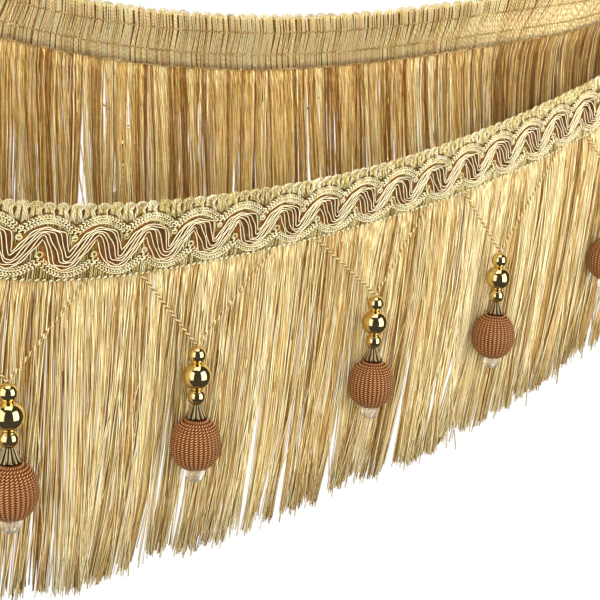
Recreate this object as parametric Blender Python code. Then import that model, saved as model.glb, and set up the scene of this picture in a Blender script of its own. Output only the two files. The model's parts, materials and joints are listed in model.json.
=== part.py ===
"""A hung turn of beaded tassel fringe trim, as separate closed solids.

The trim is one woven heading, closed into a single open turn that hangs at two points.
Everything on it is laid out along one curve, the middle line of the heading: a braided
zigzag between two scalloped chain braids, a fringe in thirteen lengths under it, and
thirteen bead drops, each hung on a V of string.

Sizes are in millimetres and become metres where a mesh is made. Distance along the heading
is counted from the seam, where its two cut ends meet at the left hanging point. The top
edge at that seam is the origin; +X runs along the turn and +Y towards its back.
"""

import math

import bmesh
import bpy
import numpy as np

MM = 0.001
GAP = 0.3                   # between pieces that touch

# Middle line of the heading, as it hangs: place, how far its top edge leans outwards
# (degrees), and how far the fringe's tips drift along the heading (mm, + is onwards).
STATIONS = (
    # x, y, z, lean, sway
    # left hanging point and left end of the turn
    (-4.0, -6.0, -20.5, -8.0, -3.0),
    (-24.0, -52.0, -38.5, 2.0, -2.0),
    (-28.0, -99.0, -62.5, 7.0, -2.0),
    (-6.0, -134.0, -88.5, 6.0, -3.0),
    # front
    (43.0, -134.0, -104.5, 5.0, -4.0),
    (115.5, -108.5, -109.0, 13.0, -7.0),
    (203.5, -74.5, -101.7, 17.0, -9.0),
    (272.5, -48.5, -87.7, 11.0, -11.0),
    (340.0, -22.0, -67.0, 10.0, -11.0),
    # right end, with the right hanging point at its highest
    (384.5, -4.0, -46.5, 6.0, -9.0),
    (406.0, 6.0, -30.0, -2.0, -6.0),
    (416.0, 20.0, -19.5, -10.0, -4.0),
    (405.0, 32.0, -15.0, -18.0, -5.0),
    (384.0, 25.0, -14.5, -26.0, -8.0),
    # back
    (349.5, 3.0, -21.0, -33.0, -12.0),
    (294.0, -20.5, -28.5, -33.0, -13.0),
    (229.0, -19.0, -38.3, -34.0, -9.0),
    (178.5, -6.5, -43.5, -29.0, -5.0),
    (118.0, 14.0, -42.8, -24.0, -2.0),
    (60.0, 31.0, -34.0, -22.0, 0.0),
    (22.0, 25.0, -24.5, -16.0, -2.0),
)

# Heading, measured across its width from its middle line, + is up
HEADING_W = 29.0
TAPE_T = 1.6
TAPE_STEP = 6.5             # longest step of the tape along the curve
TAPE_TURN = 10.0            # most that it may turn in a step, degrees
STRIP_W = 1.8               # the strip that the fringe is rooted in
SEAM_GAP = 1.0              # between the two cut ends

# Braids on the heading's face: one repeat is one zigzag
BRAID_SEAT = 0.5            # from the tape, which twists as it turns
REPEATS = 53
FIRST_PHASE = 0.616         # where in a repeat the seam falls
CHAIN_W = 3.2
CHAIN_T = 1.3
CHAIN_PHASES = (0.0, 0.2, 0.5, 0.8)
CHAIN_ROUND = 0.8           # under 1 makes the arcs fuller
UPPER_CUSP, UPPER_CREST, UPPER_SHIFT = 3.3, 8.5, 0.0
LOWER_CUSP, LOWER_CREST, LOWER_SHIFT = -6.1, -11.3, 0.40
ZIGZAG_W = 4.8
ZIGZAG_T = 1.8
ZIGZAG_POINTS = ((0.45, 3.1), (0.55, 3.1), (0.80, -6.3), (0.90, -6.3))

# Fringe
LENGTHS = 13                # lengths of fringe, and drops: one over each length
STRANDS = 20                # in each length
FRINGE_L = 122.0
CUT_DRIFT, CUT_START = 6.0, 270.0   # the cut wanders: how much, and where it starts to grow
STRAND_W = 3.0
STRAND_T = 1.5
TIP_SHARE = 0.55            # width of a tip against its root
BEND_L = 12.0               # how soon a strand turns from the heading's lean to plumb
MID_DEPTH = 32.0
DRIFT_L = 107.0             # the depth at which a strand has drifted by its sway
CUT_UNEVEN = 5.0
WIDTH_UNEVEN = 0.08
WAVES = ((41, 0.55, 0.3), (18, 1.2, 2.1), (8, 1.5, 4.0))   # number in the turn, drift, phase
DRIFT_POWER = 1.5
SEED = 7

# Drops: a V of string, three gold beads with a cap, and a thread-wrapped ball
V_HALF = 31.0               # from the drop's middle to each end of its string
DROP_STRINGS = (            # both arms together, and how far the knot sits off balance
    (91.0, 1.0), (90.0, -2.0), (98.0, -4.5), (90.0, -6.0), (89.5, 5.5), (95.5, -2.0), (92.0, 2.0),
    (93.0, 0.0), (90.0, 3.0), (94.0, -3.0), (91.0, 2.0), (93.0, -4.0), (90.0, 1.5),
)
STRING_D = 0.9
STRING_AT = -14.2           # the string's ends, across the heading
STRING_CLEAR = 0.6
ARM_SHARES = (0.3, 0.65)    # points along each arm of the V
APEX_DEPTH = 1.0            # from the string's turn to the top bead
DROP_CLEAR = 0.6            # from the beads and the ball to the strands behind them
PRESS_MID, PRESS_TIP = 3.0, 5.0     # how far a drop dents the fringe behind it
PRESS_REACH = 12.0
BALL_R = 10.1
BEAD_PROFILE = (            # radius, depth under the top of the drop
    (1.3, 0.0), (3.25, 1.9), (3.25, 4.5), (1.6, 6.4),
    (4.55, 8.9), (5.4, 11.8), (4.55, 14.7), (1.6, 17.1),
    (3.25, 19.0), (3.25, 21.6), (1.7, 23.5), (4.2, 29.4), (3.5, 30.2),
)
BEAD_SIDES = 8
BALL_PROFILE = (            # radius, depth under the top of the ball; ends in the end bead
    (3.6, 0.0), (7.6, 3.0), (BALL_R, 8.3), (BALL_R, 13.4), (7.6, 18.4),
    (4.0, 21.2), (4.3, 22.0), (4.1, 24.4), (2.9, 26.0),
)
BALL_SIDES = 10

FINISHES = {                # colour, metallic, roughness
    "gold_yarn": ((0.68, 0.49, 0.20), 0.0, 0.45),
    "pale_chain_yarn": ((0.76, 0.65, 0.35), 0.0, 0.50),
    "brown_zigzag_yarn": ((0.30, 0.15, 0.08), 0.0, 0.45),
    "twisted_string": ((0.66, 0.48, 0.20), 0.0, 0.50),
    "polished_gold": ((0.85, 0.62, 0.22), 1.0, 0.15),
    "copper_thread": ((0.38, 0.14, 0.06), 0.2, 0.40),
}


class Heading:
    """The middle line of the heading: a closed cubic spline, read by distance."""

    def __init__(self):
        self.knots = np.array(STATIONS)
        steps = np.diff(np.vstack([self.knots, self.knots[:1]])[:, :3], axis=0)
        self.span = np.linalg.norm(steps, axis=1)
        self.start = np.concatenate([[0.0], np.cumsum(self.span)])
        self.bend = self.solve_bends()
        self.fine = np.linspace(0.0, self.start[-1], 6001)
        runs = np.linalg.norm(np.diff(self.value(self.fine)[:, :3], axis=0), axis=1)
        self.distance = np.concatenate([[0.0], np.cumsum(runs)])
        self.length = self.distance[-1]
        self.origin = np.zeros(3)
        self.origin = self.point(0.0, HEADING_W / 2, 0.0)

    def solve_bends(self):
        """Second derivatives that make the curve smooth at every station."""
        count = len(self.knots)
        matrix = np.zeros((count, count))
        right = np.zeros_like(self.knots)
        for i in range(count):
            before, after = self.span[i - 1], self.span[i]
            ahead = (i + 1) % count
            matrix[i, i - 1] += before
            matrix[i, i] += 2 * (before + after)
            matrix[i, ahead] += after
            right[i] = 6 * ((self.knots[ahead] - self.knots[i]) / after
                            - (self.knots[i] - self.knots[i - 1]) / before)
        return np.linalg.solve(matrix, right)

    def value(self, parameter):
        """The columns of STATIONS at each value of the curve's own parameter."""
        parameter = np.mod(parameter, self.start[-1])
        i = np.searchsorted(self.start, parameter, side="right") - 1
        i = np.clip(i, 0, len(self.knots) - 1)
        ahead = (i + 1) % len(self.knots)
        b = ((parameter - self.start[i]) / self.span[i])[:, None]
        a = 1 - b
        curve = (a ** 3 - a) * self.bend[i] + (b ** 3 - b) * self.bend[ahead]
        straight = a * self.knots[i] + b * self.knots[ahead]
        return straight + curve * (self.span[i] ** 2)[:, None] / 6

    def at(self, s):
        """Centre, along, up and out (unit vectors), and the sway, at distance s."""
        places = np.mod(np.array([s - 0.2, s, s + 0.2]), self.length)
        behind, row, ahead = self.value(np.interp(places, self.distance, self.fine))
        along = unit((ahead - behind)[:3])
        upright = unit(np.array([0.0, 0.0, 1.0]) - along * along[2])
        level = np.cross(along, upright)
        lean = math.radians(row[3])
        up = upright * math.cos(lean) + level * math.sin(lean)
        out = level * math.cos(lean) - upright * math.sin(lean)
        return row[:3] - self.origin, along, up, out, row[4]

    def level(self, s):
        """The horizontal directions along the heading and outwards from it."""
        along = self.at(s)[1]
        along = unit(np.array([along[0], along[1], 0.0]))
        return along, np.array([along[1], -along[0], 0.0])

    def turn(self, s, reach=2.0):
        """How sharply the plan turns outwards round s, in radians a millimetre."""
        before, after = self.level(s - reach)[0], self.level(s + reach)[0]
        return math.asin(before[0] * after[1] - before[1] * after[0]) / (2 * reach)

    def point(self, s, across, outward):
        """A point at distance s, across the heading (+ up) and outwards from it."""
        centre, _, up, out, _ = self.at(s)
        return centre + up * across + out * outward

    def dip(self, a, b, width):
        """How far a straight step between two (s, across) rows passes inside the heading."""
        s, across = (a[0] + b[0]) / 2, (a[1] + b[1]) / 2
        out = self.at(s)[3]
        deepest = 0.0
        for side in (-width / 2, 0.0, width / 2):
            straight = (self.point(a[0], a[1] + side, 0.0) + self.point(b[0], b[1] + side, 0.0)) / 2
            deepest = max(deepest, float((self.point(s, across + side, 0.0) - straight) @ out))
        return deepest

    def root(self, s):
        return self.point(s, -HEADING_W / 2, 0.0)


def unit(vector):
    return vector / np.linalg.norm(vector)


def finish(name):
    """The Principled material of one finish, made once."""
    if name in bpy.data.materials:
        return bpy.data.materials[name]
    colour, metallic, roughness = FINISHES[name]
    material = bpy.data.materials.new(name)
    material.use_nodes = True
    shader = material.node_tree.nodes["Principled BSDF"]
    shader.inputs["Base Color"].default_value = (*colour, 1.0)
    shader.inputs["Metallic"].default_value = metallic
    shader.inputs["Roughness"].default_value = roughness
    return material


def add_object(name, data, material):
    data.materials.append(finish(material))
    node = bpy.data.objects.new(name, data)
    bpy.context.scene.collection.objects.link(node)
    return node


def add_mesh(name, shape, material, smooth_angle=40.0):
    """Turn a bmesh in millimetres into a named object in metres."""
    bmesh.ops.recalc_face_normals(shape, faces=shape.faces)
    bmesh.ops.scale(shape, vec=(MM, MM, MM), verts=shape.verts)
    mesh = bpy.data.meshes.new(name)
    shape.to_mesh(mesh)
    shape.free()
    mesh.shade_smooth()
    mesh.set_sharp_from_angle(angle=math.radians(smooth_angle))
    return add_object(name, mesh, material)


def extrude_to(shape, face, ring):
    """Extrude one face, and set its corners on the ring's points in the same order."""
    place = {tuple(vert.co): point for vert, point in zip(face.verts, ring)}
    inside = all(len(edge.link_faces) > 1 for edge in face.edges)
    grown = bmesh.ops.extrude_face_region(shape, geom=[face])["geom"]
    if inside:
        shape.faces.remove(face)
    end = next(item for item in grown if isinstance(item, bmesh.types.BMFace))
    moved = [place[tuple(vert.co)] for vert in end.verts]
    for vert, point in zip(end.verts, moved):
        vert.co = point
    return end


def sweep(rings):
    """A closed bar: the first ring is filled, then extruded from ring to ring."""
    shape = bmesh.new()
    end = shape.faces.new([shape.verts.new(point) for point in rings[0]])
    for before, ring in zip(rings, rings[1:]):
        corner = {tuple(np.float32(point)): place for point, place in zip(before, ring)}
        end = extrude_to(shape, end, [corner[tuple(np.float32(vert.co))] for vert in end.verts])
    return shape


def turned(profile, top, sides):
    """A solid turned about a plumb axis, from (radius, depth) points under its top."""
    shape = bmesh.new()
    points = [top + np.array([radius, 0.0, -depth]) for radius, depth in profile]
    verts = [shape.verts.new(point) for point in points]
    edges = [shape.edges.new(pair) for pair in zip(verts, verts[1:])]
    bmesh.ops.spin(shape, geom=verts + edges, cent=top, axis=(0, 0, 1), angle=2 * math.pi,
                   steps=sides, use_merge=True)
    bmesh.ops.remove_doubles(shape, verts=shape.verts, dist=0.01)
    bmesh.ops.holes_fill(shape, edges=shape.edges, sides=sides)
    return shape


def bar_ring(heading, s, across, width, outward, thick, ridged=False):
    """One cross-section of a flat bar on the heading, or of one with a single ridge."""
    low, high = across - width / 2, across + width / 2
    foot = [heading.point(s, low, outward), heading.point(s, high, outward)]
    if ridged:
        return [*foot, heading.point(s, across, outward + thick)]
    top = outward + thick
    return [*foot, heading.point(s, high, top), heading.point(s, low, top)]


def heading_tape(heading):
    """The woven tape, from the picots down to the strip that holds the fringe."""
    low = -HEADING_W / 2 + STRIP_W + GAP
    middle, width = (low + HEADING_W / 2) / 2, HEADING_W / 2 - low
    s, end = SEAM_GAP / 2, heading.length - SEAM_GAP / 2
    places = []
    while s < end - 1.0:
        places.append(s)
        turn = max(abs(heading.turn(s)), abs(heading.turn(s + TAPE_STEP / 2)))
        s += min(TAPE_STEP, math.radians(TAPE_TURN) / max(turn, 1e-6))
    places.append(end)
    rings = [bar_ring(heading, s, middle, width, -TAPE_T / 2, TAPE_T) for s in places]
    add_mesh("heading_tape", sweep(rings), "gold_yarn")


def braid_rings(heading, points, width, thick, ridged):
    """Cross-sections of a braid that goes through (phase, height) points in each repeat."""
    pitch = heading.length / REPEATS
    rows = sorted(((repeat + phase - FIRST_PHASE) * pitch, height)
                  for repeat in range(-1, REPEATS + 2) for phase, height in points)
    start, end = SEAM_GAP / 2, heading.length - SEAM_GAP / 2
    ends = [(s, float(np.interp(s, *zip(*rows)))) for s in (start, end)]
    clear = pitch / 20
    inside = [row for row in rows if start + clear < row[0] < end - clear]
    rows = [ends[0], *inside, ends[1]]
    rings = []
    for before, row, after in zip([rows[0], *rows], rows, [*rows[1:], rows[-1]]):
        dip = max(heading.dip(before, row, width), heading.dip(row, after, width))
        foot = TAPE_T / 2 + BRAID_SEAT + dip
        rings.append(bar_ring(heading, *row, width, foot, thick, ridged))
    return rings


def chain_braid(heading, name, cusp, crest, shift):
    """A chain braid in scallops, one arc to each zigzag."""
    points = []
    for phase in CHAIN_PHASES:
        rise = abs(math.sin(math.pi * phase)) ** CHAIN_ROUND
        points.append((phase + shift, cusp + (crest - cusp) * rise))
    rings = braid_rings(heading, points, CHAIN_W, CHAIN_T, True)
    add_mesh(name, sweep(rings), "pale_chain_yarn")


def zigzag_braid(heading):
    """The bundle of cords that runs up and down between the two chain braids."""
    rings = braid_rings(heading, ZIGZAG_POINTS, ZIGZAG_W, ZIGZAG_T, False)
    add_mesh("zigzag_braid", sweep(rings), "brown_zigzag_yarn", smooth_angle=30.0)


class Fringe:
    """Where the fringe's strands hang, with the dents that the drops press into it."""

    def __init__(self, heading, dents):
        self.heading = heading
        self.dents = dents

    def dent(self, s):
        nearest = min(abs((s - place + self.heading.length / 2) % self.heading.length
                          - self.heading.length / 2) for place in self.dents)
        return math.exp(-(nearest / PRESS_REACH) ** 2)

    def at(self, s, depth):
        """The middle of the strand that leaves the heading at s, at a depth below it."""
        _, _, up, _, sway = self.heading.at(s)
        along, out = self.heading.level(s)
        bent = BEND_L * (1 - math.exp(-depth / BEND_L))
        waves = sum(size * math.sin(2 * math.pi * count * s / self.heading.length + phase)
                    for count, size, phase in WAVES)
        drift = (sway + waves) * (depth / DRIFT_L) ** DRIFT_POWER
        press = self.dent(s + sway / 2) * float(
            np.interp(depth, (0.0, MID_DEPTH, FRINGE_L), (0.0, PRESS_MID, PRESS_TIP)))
        down = np.array([0.0, 0.0, bent - depth])
        return self.heading.root(s) - up * bent + down + along * drift - out * press

    def outward(self, s, depth):
        """How far the strand stands outwards of its root at a depth, on the level."""
        return float((self.at(s, depth) - self.heading.root(s)) @ self.heading.level(s)[1])

    def ring(self, s, depth, width):
        """A strand's three corners at a depth: two on its outer face and one inside."""
        middle = self.at(s, depth)
        _, along, _, out, _ = self.heading.at(s)
        if depth > 0:
            out = self.heading.level(s)[1]
        side, face = along * width / 2, out * STRAND_T / 2
        return [middle - side + face, middle + side + face, middle - face]


def fringe_length(fringe, number, rng):
    """One length of fringe: a narrow strip under the tape, and the strands it holds."""
    heading = fringe.heading
    length = heading.length / LENGTHS
    pitch = length / STRANDS
    shape = bmesh.new()

    def row(s, foot):
        top = -HEADING_W / 2 + STRIP_W
        crown = [heading.point(s, top, TAPE_T / 2), heading.point(s, top, -TAPE_T / 2)]
        return [shape.verts.new(point) for point in (*crown, *foot)]

    def end_row(s):
        foot = [heading.point(s, -HEADING_W / 2, side * STRAND_T / 2) for side in (1, -1)]
        crown_out, crown_in, low_out, low_in = row(s, foot)
        return [crown_out, crown_in, low_out, low_out, low_in]

    places = [number * length + (k + 0.5) * pitch for k in range(STRANDS)]
    widths = [STRAND_W * (1 + rng.uniform(-1, 1) * WIDTH_UNEVEN) for _ in places]
    start_gap = SEAM_GAP if number == 0 else GAP
    end_gap = SEAM_GAP if number == LENGTHS - 1 else GAP
    rows = [end_row(number * length + start_gap / 2)]
    rows += [row(s, fringe.ring(s, 0.0, width)) for s, width in zip(places, widths)]
    rows.append(end_row((number + 1) * length - end_gap / 2))

    # columns of a row: crown outside, crown inside, strand's left, right and inner corner
    for a, b in zip(rows, rows[1:]):
        shape.faces.new((a[0], b[0], b[2], a[3]))
        shape.faces.new((a[1], a[4], b[4], b[1]))
        shape.faces.new((a[0], a[1], b[1], b[0]))
        shape.faces.new((a[3], b[2], b[4], a[4]))
    for a in rows[1:-1]:
        shape.faces.new((a[0], a[3], a[2]))
    shape.faces.new((rows[0][0], rows[0][2], rows[0][4], rows[0][1]))
    shape.faces.new((rows[-1][0], rows[-1][1], rows[-1][4], rows[-1][3]))

    for s, width, a in zip(places, widths, rows[1:-1]):
        strand = shape.faces.new((a[2], a[3], a[4]))
        wander = math.sin(2 * math.pi * (s - CUT_START) / heading.length)
        cut = FRINGE_L + wander * CUT_DRIFT + rng.uniform(-1, 1) * CUT_UNEVEN
        strand = extrude_to(shape, strand, fringe.ring(s, MID_DEPTH, width))
        corners = {tuple(np.float32(p)): k for k, p in enumerate(fringe.ring(s, MID_DEPTH, width))}
        tip = fringe.ring(s, cut, width * TIP_SHARE)
        extrude_to(shape, strand, [tip[corners[tuple(np.float32(v.co))]] for v in strand.verts])
    add_mesh(f"fringe_{number + 1:02d}", shape, "gold_yarn", smooth_angle=30.0)


def hang(heading, number):
    """Where a drop hangs: near the place where both arms of its string slope alike.

    Returns the distance along the heading and the height of the string's turn.
    """
    string_l, off_balance = DROP_STRINGS[number]
    middle = (number + 0.5) * heading.length / LENGTHS
    left, right = middle - V_HALF, middle + V_HALF
    steps = [heading.root(s) for s in np.linspace(left, right, 13)]
    span = sum(np.linalg.norm((b - a)[:2]) for a, b in zip(steps, steps[1:]))
    rise = steps[-1][2] - steps[0][2]
    sine = span / string_l
    cosine = math.sqrt(1 - sine ** 2)
    left_arm = (string_l - rise / cosine) / 2
    share = left_arm * sine / span
    return left + share * 2 * V_HALF + off_balance, steps[0][2] - left_arm * cosine


def standing_clear(fringe, turn_s, turn_z):
    """How far outwards of its root a plumb drop hangs, to lie on the fringe behind it."""
    heading = fringe.heading
    root = heading.root(turn_s)
    along, out = heading.level(turn_s)
    ball_top = APEX_DEPTH + BEAD_PROFILE[-1][1] + GAP
    girths = [(radius, APEX_DEPTH + depth) for radius, depth in BEAD_PROFILE]
    girths += [(radius, ball_top + depth) for radius, depth in BALL_PROFILE]
    reach = 0.0
    for s in np.arange(turn_s - 2 * BALL_R, turn_s + 2 * BALL_R, 1.0):
        for radius, below in girths:
            strand = fringe.at(s, heading.root(s)[2] - turn_z + below) - root
            clear = radius + STRAND_T / 2 + DROP_CLEAR
            aside = abs(float(strand @ along))
            if aside < clear:
                reach = max(reach, float(strand @ out) + math.sqrt(clear ** 2 - aside ** 2))
    return reach


def drop(fringe, number):
    """The string, the gold beads with their cap, and the ball of one drop."""
    heading = fringe.heading
    name = f"drop_{number + 1:02d}"
    middle = (number + 0.5) * heading.length / LENGTHS
    turn_s, turn_z = hang(heading, number)
    reach = standing_clear(fringe, turn_s, turn_z)
    seat = TAPE_T / 2 + GAP + STRING_D / 2

    def arm(end_s):
        end = heading.point(end_s, STRING_AT, seat)
        points = [end]
        for share in ARM_SHARES:
            s = end_s + (turn_s - end_s) * share
            z = end[2] + (turn_z - end[2]) * share
            root = heading.root(s)
            chord = max(heading.turn(s), 0.0) * (V_HALF / len(ARM_SHARES)) ** 2 / 8
            lying = fringe.outward(s, root[2] - z) + (STRAND_T + STRING_D) / 2 + STRING_CLEAR
            outward = max(seat + (reach - seat) * share, lying + chord)
            point = root + heading.level(s)[1] * outward
            points.append(np.array([point[0], point[1], z]))
        return points

    root = heading.root(turn_s) + heading.level(turn_s)[1] * reach
    apex = np.array([root[0], root[1], turn_z])
    route = [*arm(middle - V_HALF), apex, *reversed(arm(middle + V_HALF))]
    data = bpy.data.curves.new(f"{name}_string", "CURVE")
    data.dimensions = "3D"
    data.bevel_depth = STRING_D / 2 * MM
    data.bevel_resolution = 2
    data.render_resolution_u = 0
    data.use_fill_caps = True
    spline = data.splines.new("POLY")
    spline.points.add(len(route) - 1)
    for place, point in zip(spline.points, route):
        place.co = (*(point * MM), 1.0)
    add_object(f"{name}_string", data, "twisted_string")

    top = apex - np.array([0.0, 0.0, APEX_DEPTH])
    add_mesh(f"{name}_beads", turned(BEAD_PROFILE, top, BEAD_SIDES), "polished_gold")
    ball_top = top - np.array([0.0, 0.0, BEAD_PROFILE[-1][1] + GAP])
    add_mesh(f"{name}_ball", turned(BALL_PROFILE, ball_top, BALL_SIDES), "copper_thread")


def build():
    for thing in list(bpy.data.objects):
        bpy.data.objects.remove(thing, do_unlink=True)
    heading = Heading()
    heading_tape(heading)
    chain_braid(heading, "braid_upper", UPPER_CUSP, UPPER_CREST, UPPER_SHIFT)
    chain_braid(heading, "braid_lower", LOWER_CUSP, LOWER_CREST, LOWER_SHIFT)
    zigzag_braid(heading)
    fringe = Fringe(heading, [hang(heading, number)[0] for number in range(LENGTHS)])
    rng = np.random.default_rng(SEED)
    for number in range(LENGTHS):
        fringe_length(fringe, number, rng)
        drop(fringe, number)


build()
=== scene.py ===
# %% [markdown]
# # A hung turn of beaded tassel fringe
#
# The trim is one long woven band that hangs from two points in a single open turn. The
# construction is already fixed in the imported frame. This file dresses it: yarn by yarn for
# the band and its fringe, bead by bead for the drops. All sizes are in millimetres.

# %% Load the frame
import json
import math

import bmesh
import bpy
import numpy as np
from mathutils import Matrix, Vector

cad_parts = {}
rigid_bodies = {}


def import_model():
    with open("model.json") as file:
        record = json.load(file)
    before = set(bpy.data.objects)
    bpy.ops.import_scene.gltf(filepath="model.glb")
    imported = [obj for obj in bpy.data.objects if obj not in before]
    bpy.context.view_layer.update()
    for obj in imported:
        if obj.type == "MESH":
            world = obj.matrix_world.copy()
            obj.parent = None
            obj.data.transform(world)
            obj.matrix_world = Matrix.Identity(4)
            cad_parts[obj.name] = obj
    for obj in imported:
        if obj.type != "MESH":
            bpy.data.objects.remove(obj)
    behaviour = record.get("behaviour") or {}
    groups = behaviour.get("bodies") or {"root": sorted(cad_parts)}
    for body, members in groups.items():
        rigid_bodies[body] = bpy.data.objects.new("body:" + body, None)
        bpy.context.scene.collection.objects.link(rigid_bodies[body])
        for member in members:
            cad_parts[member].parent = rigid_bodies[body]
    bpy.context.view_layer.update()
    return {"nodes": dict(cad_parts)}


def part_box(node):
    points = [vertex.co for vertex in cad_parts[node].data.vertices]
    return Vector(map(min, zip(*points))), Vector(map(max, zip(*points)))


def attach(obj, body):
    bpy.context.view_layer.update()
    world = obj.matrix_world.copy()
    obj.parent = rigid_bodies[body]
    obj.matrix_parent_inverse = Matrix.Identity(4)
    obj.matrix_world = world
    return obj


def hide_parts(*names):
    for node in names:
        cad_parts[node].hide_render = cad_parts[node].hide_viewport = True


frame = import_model()
MM = 0.001
print("frame loaded:", len(frame["nodes"]), "nodes")

# %% [markdown]
# ## The line that everything follows
#
# A maker lays every part of a trim along its heading, so every yarn here is placed by three
# numbers: distance along the heading, height across it and distance out from it. The
# heading's middle line is a closed natural spline through a few measured stations, the same
# ones as in the construction. A spline is chosen over straight runs because cloth that
# hangs from two points has no corners.

# %% The heading's middle line
STATIONS = (
    # x, y, z, lean of the top edge outwards (degrees), sideways drift of the fringe (mm)
    (-4.0, -6.0, -20.5, -8.0, -3.0),
    (-24.0, -52.0, -38.5, 2.0, -2.0),
    (-28.0, -99.0, -62.5, 7.0, -2.0),
    (-6.0, -134.0, -88.5, 6.0, -3.0),
    (43.0, -134.0, -104.5, 5.0, -4.0),
    (115.5, -108.5, -109.0, 13.0, -7.0),
    (203.5, -74.5, -101.7, 17.0, -9.0),
    (272.5, -48.5, -87.7, 11.0, -11.0),
    (340.0, -22.0, -67.0, 10.0, -11.0),
    (384.5, -4.0, -46.5, 6.0, -9.0),
    (406.0, 6.0, -30.0, -2.0, -6.0),
    (416.0, 20.0, -19.5, -10.0, -4.0),
    (405.0, 32.0, -15.0, -18.0, -5.0),
    (384.0, 25.0, -14.5, -26.0, -8.0),
    (349.5, 3.0, -21.0, -33.0, -12.0),
    (294.0, -20.5, -28.5, -33.0, -13.0),
    (229.0, -19.0, -38.3, -34.0, -9.0),
    (178.5, -6.5, -43.5, -29.0, -5.0),
    (118.0, 14.0, -42.8, -24.0, -2.0),
    (60.0, 31.0, -34.0, -22.0, 0.0),
    (22.0, 25.0, -24.5, -16.0, -2.0),
)
HEADING_W = 29.0
SEAM_GAP = 1.0
UP = np.array([0.0, 0.0, 1.0])


def unit(vectors):
    return vectors / np.linalg.norm(vectors, axis=-1, keepdims=True)


def run_along(points):
    """The distance along a line at each of its points."""
    return np.concatenate([[0.0], np.cumsum(np.linalg.norm(np.diff(points, axis=0), axis=1))])


class Heading:
    """The middle line of the heading, read by arrays of distances along it."""

    def __init__(self):
        self.knots = np.array(STATIONS)
        steps = np.roll(self.knots, -1, axis=0)[:, :3] - self.knots[:, :3]
        self.span = np.linalg.norm(steps, axis=1)
        self.start = np.concatenate([[0.0], np.cumsum(self.span)])
        self.bend = self.solve_bends()
        self.fine = np.linspace(0.0, self.start[-1], 6001)
        self.distance = run_along(self.value(self.fine)[:, :3])
        self.length = self.distance[-1]
        self.origin = np.zeros(3)
        self.origin = self.point(0.0, HEADING_W / 2, 0.0)

    def solve_bends(self):
        """Second derivatives that make the curve smooth at every station."""
        count = len(self.knots)
        here = np.arange(count)
        before, ahead = np.roll(self.span, 1), np.roll(here, -1)
        matrix = np.zeros((count, count))
        matrix[here, here - 1] += before
        matrix[here, here] += 2 * (before + self.span)
        matrix[here, ahead] += self.span
        slope = (self.knots[ahead] - self.knots) / self.span[:, None]
        return np.linalg.solve(matrix, 6 * (slope - np.roll(slope, 1, axis=0)))

    def value(self, parameter):
        """The columns of STATIONS at values of the curve's own parameter."""
        parameter = np.mod(parameter, self.start[-1])
        i = np.searchsorted(self.start, parameter, side="right") - 1
        i = np.clip(i, 0, len(self.knots) - 1)
        ahead = (i + 1) % len(self.knots)
        b = ((parameter - self.start[i]) / self.span[i])[..., None]
        a = 1 - b
        curve = (a ** 3 - a) * self.bend[i] + (b ** 3 - b) * self.bend[ahead]
        straight = a * self.knots[i] + b * self.knots[ahead]
        return straight + curve * (self.span[i] ** 2)[..., None] / 6

    def read(self, s):
        return self.value(np.interp(np.mod(s, self.length), self.distance, self.fine))

    def at(self, s):
        """Centre, along, up and out (unit vectors), and the sway, at distances s."""
        s = np.asarray(s, float)
        row = self.read(s)
        along = unit((self.read(s + 0.2) - self.read(s - 0.2))[..., :3])
        upright = unit(UP - along * along[..., 2:3])
        level = np.cross(along, upright)
        lean = np.radians(row[..., 3:4])
        up = upright * np.cos(lean) + level * np.sin(lean)
        out = level * np.cos(lean) - upright * np.sin(lean)
        return row[..., :3] - self.origin, along, up, out, row[..., 4]

    def level(self, s):
        """The horizontal directions along the heading and outwards from it."""
        flat = unit(self.at(s)[1] * (1.0, 1.0, 0.0))
        return flat, np.stack([flat[..., 1], -flat[..., 0], 0 * flat[..., 0]], axis=-1)

    def point(self, s, across, outward):
        centre, _, up, out, _ = self.at(s)
        return centre + up * np.asarray(across)[..., None] + out * np.asarray(outward)[..., None]

    def root(self, s):
        return self.point(s, np.full(np.shape(s), -HEADING_W / 2), 0.0)


heading = Heading()
print(f"heading: {heading.length:.0f} mm round, one turn")

# %% [markdown]
# ## Yarn finishes
#
# Every yarn in the trim is spun from fine shiny filament. Two effects make it look so: a
# shade that differs from yarn to yarn, and the slanting lines of its twist. Both are node
# groups, so that each yarn colour can set them its own way. The shade comes from an
# attribute on the mesh, and the twist follows the yarn's own UV map, because a pattern in
# space would run straight through the yarns instead of along them.
#
# A few short functions come first. Each adds one kind of node and takes either plain
# numbers or the outputs of other nodes, so that a material reads like a sum.


# %% Node helpers
WHITE = (1.0, 1.0, 1.0, 1.0)
GREY = (0.5, 0.5, 0.5, 1.0)


def new_group(name, inputs, outputs):
    """A shader node group; inputs are (name, socket type, default)."""
    group = bpy.data.node_groups.new(name, "ShaderNodeTree")
    for socket, kind, value in inputs:
        made = group.interface.new_socket(socket, in_out="INPUT", socket_type=kind)
        made.default_value = value
    for socket, kind in outputs:
        group.interface.new_socket(socket, in_out="OUTPUT", socket_type=kind)
    return group, group.nodes.new("NodeGroupInput"), group.nodes.new("NodeGroupOutput")


def feed(tree, socket, value):
    """Links another node's output to a socket, or sets the socket to a plain value."""
    if isinstance(value, bpy.types.NodeSocket):
        tree.links.new(value, socket)
    else:
        socket.default_value = value


def add_node(tree, kind, inputs=(), **settings):
    """A node with its settings made first and then its inputs fed."""
    node = tree.nodes.new(kind)
    for name, value in settings.items():
        setattr(node, name, value)
    for socket, value in dict(inputs).items():
        feed(tree, node.inputs[socket], value)
    return node


def calculate(tree, operation, *values):
    """What a Math node makes of sockets and plain numbers."""
    return add_node(tree, "ShaderNodeMath", enumerate(values), operation=operation).outputs[0]


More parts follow.
